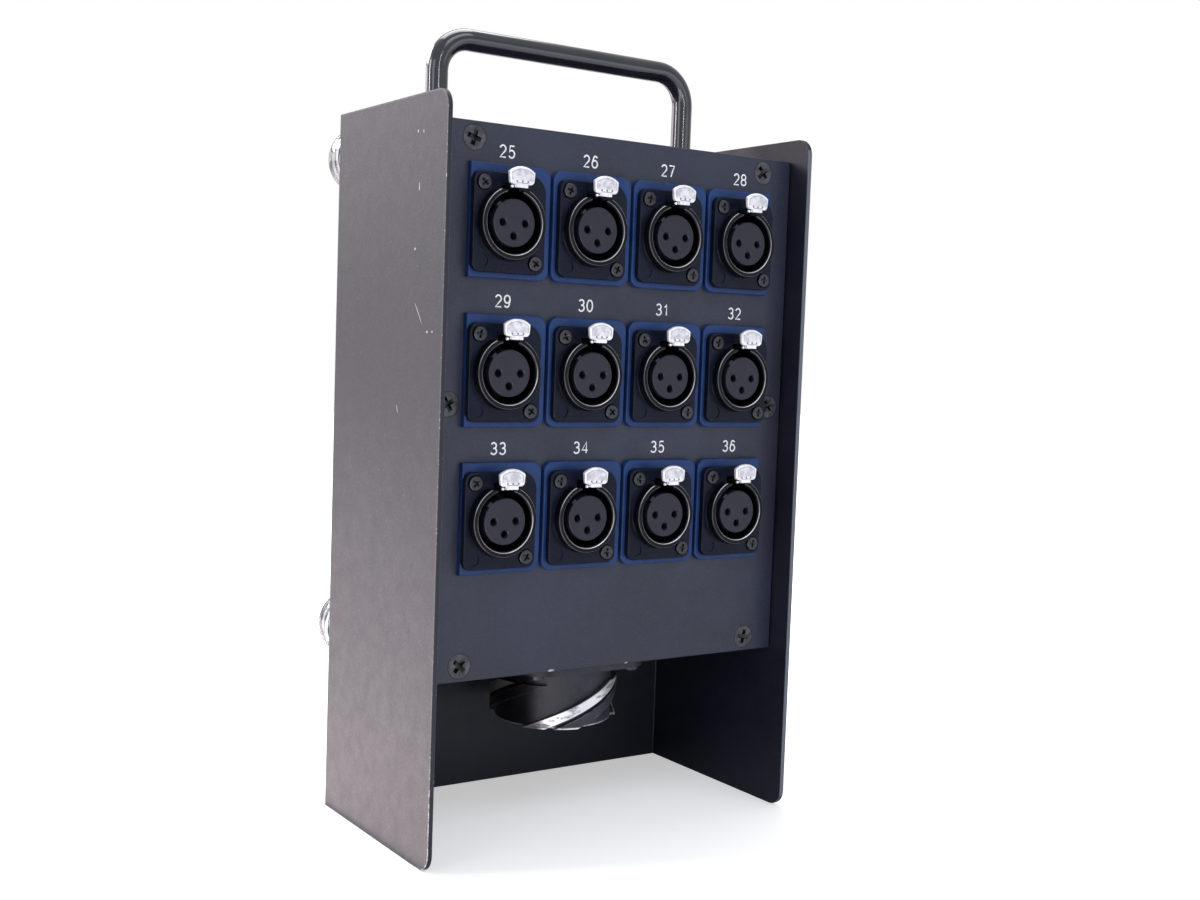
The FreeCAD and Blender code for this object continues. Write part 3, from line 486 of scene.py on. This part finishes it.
def worn_multipin():
    """Black coating of the multipin shell, rubbed bright along its thread's upper ridge and rim, with
    a painted shadow darkening its left side.
    """
    g = Graph("worn_multipin")
    x, y, z = g.xyz()
    away_x = g.math("SUBTRACT", x, multipin_centre.x)
    away_y = g.math("SUBTRACT", y, multipin_centre.y)
    radius = g.length(away_x, away_y)
    grain = g.noise(1900.0, 3.0, 0.6)
    clouds = g.noise(130.0, 4.0, 0.6)
    base = g.mix(g.step(clouds, 0.3, 0.7), colour(40, 42, 50), colour(56, 58, 67))
    # Painted shadow: the left side, where the left cheek shades it, is near-black.
    base = g.mix(g.step(away_x, -18.0 * MM, -15.0 * MM, 0.9, 0.0), base, colour(7, 7, 10))
    turned = g.math("SUBTRACT", g.math("ARCTAN2", away_y, away_x), thread_angle)
    climb = g.both(turned, thread_lead / (2 * math.pi))
    above_start = g.math("SUBTRACT", g.math("SUBTRACT", z, thread_start_z), climb)
    on_thread = g.math("WRAP", above_start, 0.8 * thread_pitch, -0.2 * thread_pitch)
    ridge = g.both(g.step(on_thread, 0.05 * MM, 0.3 * MM),
                   g.step(on_thread, 3.6 * MM, 4.1 * MM, 1.0, 0.0))
    crest = g.both(g.step(radius, multipin_crest_r, multipin_crest_r + 0.5 * MM), ridge)
    rim = g.step(z, multipin_low.z + 0.25 * MM, multipin_low.z + 0.7 * MM, 1.0, 0.0)
    below_flange = g.step(z, multipin_flange_z, multipin_flange_z + 0.5 * MM, 1.0, 0.0)
    streaks = g.noise(260.0, 4.0, 0.7, g.stretched(0.5, 0.5, 1.6))
    wear_and_highlight = g.both(g.both(crest, below_flange), g.step(streaks, 0.34, 0.5, 0.25, 1.0))
    wear_and_highlight = g.either(wear_and_highlight, g.both(rim, g.step(g.noise(200.0, 4.0, 0.7), 0.3, 0.5)))
    edges = g.both(edge_mask(g, 0.35 * MM), g.step(g.noise(180.0, 4.0, 0.7), 0.42, 0.6))
    wear_and_highlight = g.either(wear_and_highlight, g.both(g.both(edges, below_flange), 0.45))
    # The painted shadow dims the rubbed metal on the left side as well.
    wear_and_highlight = g.both(wear_and_highlight, g.step(away_x, -17.0 * MM, -13.0 * MM, 0.15, 1.0))
    g.set("Base Color", g.mix(wear_and_highlight, base, colour(240, 240, 242)))
    g.set("Metallic", g.both(wear_and_highlight, 0.6))
    g.set("Roughness", g.blend(wear_and_highlight, g.step(clouds, 0.3, 0.7, 0.38, 0.5), 0.3))
    g.set("Specular IOR Level", 0.35)
    normal = g.bump(grain, 0.3, 0.05 * MM)
    g.set("Normal", g.bump(wear_and_highlight, 0.3, -0.05 * MM, normal))
    return g.material


def gloss_black():
    """Gloss black enamel of the handle, with faint dust."""
    g = Graph("gloss_black")
    clouds = g.noise(60.0, 3.0, 0.6)
    dust = g.step(g.noise(1300.0, 2.0, 0.5), 0.7, 0.76)
    base = g.mix(g.step(clouds, 0.3, 0.7), colour(17, 18, 29), colour(24, 25, 38))
    g.set("Base Color", g.mix(g.both(dust, 0.25), base, colour(130, 132, 140)))
    g.set("Roughness", g.step(clouds, 0.3, 0.7, 0.16, 0.24))
    g.set("Coat Weight", 1.0)
    g.set("Coat Roughness", 0.05)
    g.set("Normal", g.bump(g.noise(420.0, 3.0), 0.03, 0.02 * MM))
    return g.material


def plain_metal(name, tone, rough_low, rough_high):
    """Plated or drawn metal with fine brushed grain."""
    g = Graph(name)
    brushed = g.noise(900.0, 4.0, 0.65, g.stretched(1.0, 1.0, 0.12))
    clouds = g.noise(250.0, 3.0)
    dark = tuple(part * 0.82 for part in tone[:3]) + (1.0,)
    g.set("Base Color", g.mix(g.step(clouds, 0.3, 0.7), dark, tone))
    g.set("Metallic", 1.0)
    g.set("Roughness", g.step(brushed, 0.3, 0.7, rough_low, rough_high))
    g.set("Normal", g.bump(brushed, 0.15, 0.03 * MM))
    return g.material


def plain_plastic(name, tone, rough_low, rough_high):
    """Moulded plastic or rubber with a fine grain."""
    g = Graph(name)
    grain = g.noise(1600.0, 3.0, 0.6)
    clouds = g.noise(180.0, 3.0, 0.6)
    dark = tuple(part * 0.78 for part in tone[:3]) + (1.0,)
    g.set("Base Color", g.mix(g.step(clouds, 0.3, 0.7), dark, tone))
    g.set("Roughness", g.step(clouds, 0.3, 0.7, rough_low, rough_high))
    g.set("Normal", g.bump(grain, 0.2, 0.04 * MM))
    return g.material


def clear_rubber():
    """Clear soft bumpers, faintly cloudy, with a painted dark reflection where they are seen edge on.
    """
    g = Graph("clear_rubber")
    clouds = g.noise(120.0, 3.0, 0.6)
    tone = g.mix(g.step(clouds, 0.3, 0.7), colour(222, 225, 229), colour(240, 242, 245))
    weight = g.add("ShaderNodeLayerWeight")
    weight.inputs["Blend"].default_value = 0.5
    painted_edge_darkening = g.step(weight.outputs["Facing"], 0.75, 0.95)
    g.set("Base Color", g.mix(g.both(painted_edge_darkening, 0.8), tone, colour(96, 98, 106)))
    g.set("Roughness", g.step(clouds, 0.3, 0.7, 0.03, 0.1))
    g.set("Transmission Weight", 0.9)
    g.set("IOR", 1.4)
    g.set("Normal", g.bump(g.noise(300.0), 0.04, 0.02 * MM))
    return g.material


def printed_white():
    """White screen print, faintly uneven."""
    g = Graph("printed_white")
    mottle = g.noise(2200.0, 3.0, 0.6)
    g.set("Base Color", g.mix(g.step(mottle, 0.3, 0.7), colour(226, 227, 230), colour(244, 244, 246)))
    g.set("Roughness", g.step(mottle, 0.3, 0.7, 0.45, 0.6))
    g.set("Normal", g.bump(mottle, 0.15, 0.02 * MM))
    return g.material


dark_head = colour(30, 31, 38)
pale_head = colour(60, 61, 69)

finish = {
    "black_paint": satin_paint(),
    "zinc": plain_metal("zinc_plate", colour(196, 196, 192), 0.3, 0.45),
    "black_screw": black_screw("black_screw", 1.0, dark_head, pale_head),
    "blue_plastic": coding_blue(),
    "contact_metal": plain_metal("contact_plate", colour(206, 190, 148), 0.25, 0.4),
    "spring_steel": plain_metal("spring_steel", colour(150, 150, 152), 0.3, 0.45),
    "die_cast_black": die_cast(),
    "insert_plastic": insert_plastic(),
    "bright_latch": bright_latch(),
    "worn_black_metal": worn_multipin(),
    "gasket_rubber": plain_plastic("gasket_rubber", colour(30, 30, 31), 0.6, 0.75),
    "handle_paint": gloss_black(),
    "clear_rubber": clear_rubber(),
    "cable_jacket": plain_plastic("cable_jacket", colour(38, 38, 40), 0.45, 0.6),
    "nylon": plain_plastic("nylon", colour(214, 212, 204), 0.4, 0.55),
}


def finish_nodes():
    """Give every node of the frame the finish of its record slot."""
    slot_of = {part["node"]: part["material_slot"] for part in frame["record"]["subparts"]}
    for name, node in frame["nodes"].items():
        node.data.materials.clear()
        node.data.materials.append(finish[slot_of[name]])
    frame["nodes"]["front_panel"].data.materials[0] = panel_paint()
    for name, high_tone in (("panel_screws", colour(76, 77, 84)), ("xlr_screws", colour(40, 41, 50))):
        head = black_screw(name + "_finish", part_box(name)[0].y, dark_head, high_tone)
        frame["nodes"][name].data.materials[0] = head


finish_nodes()


# Printed channel numbers: each digit is strokes in a box 0.62 wide and 1 tall
digit_height = 4.2 * MM
digit_width = 2.65 * MM
digit_step = 3.2 * MM
digit_stroke = 0.54 * MM
number_rise = 22.5 * MM
number_shift = 0.7 * MM
print_thick = 0.03 * MM


def arc(cx, cz, rx, rz, start, end, steps=14):
    """Points along an ellipse's arc, in degrees from +X towards +Z."""
    points = []
    for k in range(steps + 1):
        angle = math.radians(start + (end - start) * k / steps)
        points.append((cx + rx * math.cos(angle), cz + rz * math.sin(angle)))
    return points


digits = {
    "0": [arc(0.5, 0.5, 0.5, 0.5, 90, 450, 28)],
    "1": [[(0.12, 0.76), (0.34, 0.82), (0.5, 1.0), (0.5, 0.0)]],
    "2": [arc(0.5, 0.71, 0.47, 0.29, 165, -38) + [(0.03, 0.0), (1.0, 0.0)]],
    "3": [arc(0.47, 0.755, 0.43, 0.245, 155, -80) + [(0.4, 0.52)],
          arc(0.47, 0.275, 0.5, 0.275, 82, -155)],
    "4": [[(0.78, 0.0), (0.78, 1.0), (0.0, 0.28), (1.0, 0.28)]],
    "5": [[(0.92, 1.0), (0.22, 1.0), (0.1, 0.5)] + arc(0.48, 0.32, 0.5, 0.32, 125, -150)],
    "6": [arc(0.55, 0.72, 0.42, 0.28, 30, 120) + [(0.03, 0.42)],
          arc(0.5, 0.32, 0.48, 0.32, 90, 450, 24)],
    "7": [[(0.0, 1.0), (0.98, 1.0), (0.62, 0.52), (0.36, 0.0)]],
    "8": [arc(0.5, 0.755, 0.43, 0.245, 90, 450, 24), arc(0.5, 0.265, 0.5, 0.265, 90, 450, 24)],
    "9": [arc(0.5, 0.68, 0.48, 0.32, 90, 450, 24),
          [(0.97, 0.58)] + arc(0.45, 0.28, 0.42, 0.28, -5, -150)],
}


def stroke_mesh(strokes):
    """One mesh of round-edged ribbons along the strokes, flat on the plane y = 0."""
    data = bpy.data.curves.new("strokes", "CURVE")
    data.dimensions = "3D"
    data.bevel_depth = digit_stroke / 2
    data.bevel_resolution = 4
    data.use_fill_caps = True
    for stroke in strokes:
        spline = data.splines.new("POLY")
        spline.points.add(len(stroke) - 1)
        for point, (x, z) in zip(spline.points, stroke):
            point.co = (x, 0.0, z, 1.0)
    holder = bpy.data.objects.new("strokes", data)
    mesh = bpy.data.meshes.new_from_object(holder)
    bpy.data.objects.remove(holder)
    bpy.data.curves.remove(data)
    return mesh


def print_number(number):
    """The two digits above one socket, a thin film of ink on the panel's face."""
    ink_width = digit_width - digit_stroke
    ink_height = digit_height - digit_stroke
    strokes = []
    for k, digit in enumerate(str(number)):
        left = (k - 1) * digit_step + (digit_step - ink_width) / 2
        for stroke in digits[digit]:
            strokes.append([(left + x * ink_width, (z - 0.5) * ink_height) for x, z in stroke])
    mesh = stroke_mesh(strokes)
    middle = socket_centre[number]
    for vertex in mesh.vertices:
        flat = vertex.co.y / (digit_stroke / 2) * print_thick / 2
        vertex.co = (vertex.co.x + middle.x + number_shift, y_panel - print_thick / 2 + flat,
                     vertex.co.z + middle.z + number_rise)
    mesh.materials.append(finish_print)
    piece = bpy.data.objects.new("channel_number_%d" % number, mesh)
    bpy.context.scene.collection.objects.link(piece)
    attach(piece, "root")
    return piece


finish_print = printed_white()
for number in numbers:
    print_number(number)


# Floor, light and surroundings. The floor is white to the camera. To glossy rays, left of
# the box, it glows warm, in three strengths from near to far.
floor_glow = 0.44
glow_start = 0.10
glow_end = 0.30
near_mirrored = 3.0
mid_mirrored = 2.1
far_mirrored = 0.9
floor_warmth = (1.0, 0.85, 0.84, 1.0)
world_fill = 0.56
room_tint = (0.985, 0.99, 1.0, 1.0)
white = (1.0, 1.0, 1.0, 1.0)
middle_of_box = (0.0, 0.0, 0.14)
plain = (1.0, 0.98, 1.0)
rosy = (1.0, 0.92, 0.975)
cool = (0.75, 0.86, 1.0)


def make_floor():
    mesh = bpy.data.meshes.new("floor")
    builder = bmesh.new()
    bmesh.ops.create_grid(builder, x_segments=8, y_segments=8, size=2.5)
    builder.to_mesh(mesh)
    builder.free()
    floor = bpy.data.objects.new("floor", mesh)
    bpy.context.scene.collection.objects.link(floor)
    g = Graph("pale_floor")
    g.set("Base Color", colour(236, 236, 238))
    g.set("Roughness", 0.7)
    x, y, z = g.xyz()
    away = g.length(x, y)
    seen = g.add("ShaderNodeLightPath").outputs
    looked_at = g.either(seen["Is Camera Ray"], seen["Is Transmission Ray"])
    shown = g.both(looked_at, g.step(away, glow_start, glow_end, floor_glow, 1.0))
    on_left = g.step(x, chassis_low.x - 3 * MM, chassis_low.x, 1.0, 0.0)
    near_and_mid = g.math("ADD", g.step(away, 0.16, 0.3, near_mirrored - mid_mirrored, 0.0),
                          g.step(away, 0.8, 1.0, mid_mirrored, far_mirrored))
    mirrored = g.both(seen["Is Glossy Ray"], g.both(on_left, near_and_mid))
    glow = g.add("ShaderNodeEmission")
    g.put(glow.inputs["Color"], g.mix(mirrored, white, floor_warmth))
    g.put(glow.inputs["Strength"], g.math("ADD", shown, mirrored))
    total = g.add("ShaderNodeAddShader")
    g.put(total.inputs[0], g.shader.outputs[0])
    g.put(total.inputs[1], glow.outputs[0])
    g.put(g.output.inputs["Surface"], total.outputs[0])
    floor.data.materials.append(g.material)


def make_world():
    """White where the camera looks, and a dim cool room for everything else."""
    world = bpy.data.worlds.new("surroundings")
    bpy.context.scene.world = world
    world.use_nodes = True
    tree = world.node_tree
    tree.nodes.clear()
    seen = tree.nodes.new("ShaderNodeLightPath")
    shown = tree.nodes.new("ShaderNodeMath")
    shown.operation = "MAXIMUM"
    tree.links.new(seen.outputs["Is Camera Ray"], shown.inputs[0])
    tree.links.new(seen.outputs["Is Transmission Ray"], shown.inputs[1])
    mix = tree.nodes.new("ShaderNodeMixShader")
    tree.links.new(shown.outputs[0], mix.inputs[0])
    for k, (tint, strength) in enumerate(((room_tint, world_fill), (white, 1.0))):
        sky = tree.nodes.new("ShaderNodeBackground")
        sky.inputs["Color"].default_value = tint
        sky.inputs["Strength"].default_value = strength
        tree.links.new(sky.outputs[0], mix.inputs[1 + k])
    output = tree.nodes.new("ShaderNodeOutputWorld")
    tree.links.new(mix.outputs[0], output.inputs["Surface"])


def soft_light(name, place, target, size, power, tint):
    data = bpy.data.lights.new(name, "AREA")
    data.color = tint
    data.shape = "RECTANGLE"
    data.size, data.size_y = size
    data.energy = power
    lamp = bpy.data.objects.new(name, data)
    lamp.visible_camera = False
    bpy.context.scene.collection.objects.link(lamp)
    lamp.location = place
    lamp.rotation_euler = (Vector(target) - Vector(place)).to_track_quat("-Z", "Y").to_euler()
    return lamp


make_floor()
make_world()
soft_light("left_key", (-1.15, -0.5, 0.42), middle_of_box, (0.4, 0.8), 2.0, cool)
soft_light("left_wall", (-0.55, 1.2, 0.42), middle_of_box, (1.0, 0.3), 2.0, rosy)
soft_light("left_high", (-0.55, 1.2, 0.85), middle_of_box, (1.0, 0.4), 11.0, rosy)
soft_light("left_strip", (-1.15, 0.36, 0.45), middle_of_box, (0.12, 0.7), 5.0, rosy)
soft_light("front_strip", (-0.2, -1.2, 0.42), middle_of_box, (0.025, 0.8), 2.4, plain)
soft_light("front_softbox", (0.15, -0.85, 1.2), middle_of_box, (0.8, 0.5), 3.0, cool)
soft_light("right_card", (0.75, -1.2, 0.18), middle_of_box, (0.9, 0.6), 1.7, cool)
soft_light("top_softbox", (0.1, 0.35, 1.3), middle_of_box, (0.9, 0.9), 9.4, plain)

bpy.context.scene.view_settings.view_transform = "Standard"
